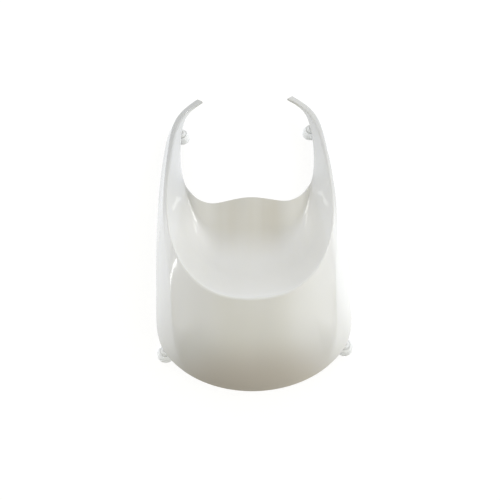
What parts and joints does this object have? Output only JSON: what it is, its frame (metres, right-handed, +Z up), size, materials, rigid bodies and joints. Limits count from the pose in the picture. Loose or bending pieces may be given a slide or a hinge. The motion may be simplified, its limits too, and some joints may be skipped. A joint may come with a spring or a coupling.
{
  "type": "bedpan",
  "caption": "Open-backed wedge-shaped bedpan with a shallow bowl, a wavy rear lip and two low arms, on turning suction feet.",
  "frame": {"origin": "on the floor under the middle of the overall box", "axes": "+Z up, -Y the high front end, +X the right side seen from the front end"},
  "size_m": [0.265, 0.467, 0.1111],
  "materials": {
    "shell": "high gloss moulded, warm white",
    "bracket": "as moulded",
    "suction_cup": "translucent soft silicone",
    "pin": "as moulded"
  },
  "bodies": {
    "pan": {"outer_cover": "shell", "inner_bowl": "shell", "bracket_front_left": "bracket", "bracket_front_right": "bracket", "bracket_rear_left": "bracket", "bracket_rear_right": "bracket"},
    "foot_front_left": {"suction_foot_front_left": "suction_cup", "foot_pin_front_left": "pin"},
    "foot_front_right": {"suction_foot_front_right": "suction_cup", "foot_pin_front_right": "pin"},
    "foot_rear_left": {"suction_foot_rear_left": "suction_cup", "foot_pin_rear_left": "pin"},
    "foot_rear_right": {"suction_foot_rear_right": "suction_cup", "foot_pin_rear_right": "pin"}
  },
  "joints": [
    {"name": "swivel_front_left", "type": "hinge", "parent": "pan", "child": "foot_front_left", "pos_m": [-0.1185, -0.172, 0], "axis": [0, 0, 1], "continuous": true},
    {"name": "swivel_front_right", "type": "hinge", "parent": "pan", "child": "foot_front_right", "pos_m": [0.1185, -0.172, 0], "axis": [0, 0, 1], "continuous": true},
    {"name": "swivel_rear_left", "type": "hinge", "parent": "pan", "child": "foot_rear_left", "pos_m": [-0.0975, 0.1775, 0], "axis": [0, 0, 1], "continuous": true},
    {"name": "swivel_rear_right", "type": "hinge", "parent": "pan", "child": "foot_rear_right", "pos_m": [0.0975, 0.1775, 0], "axis": [0, 0, 1], "continuous": true}
  ]
}
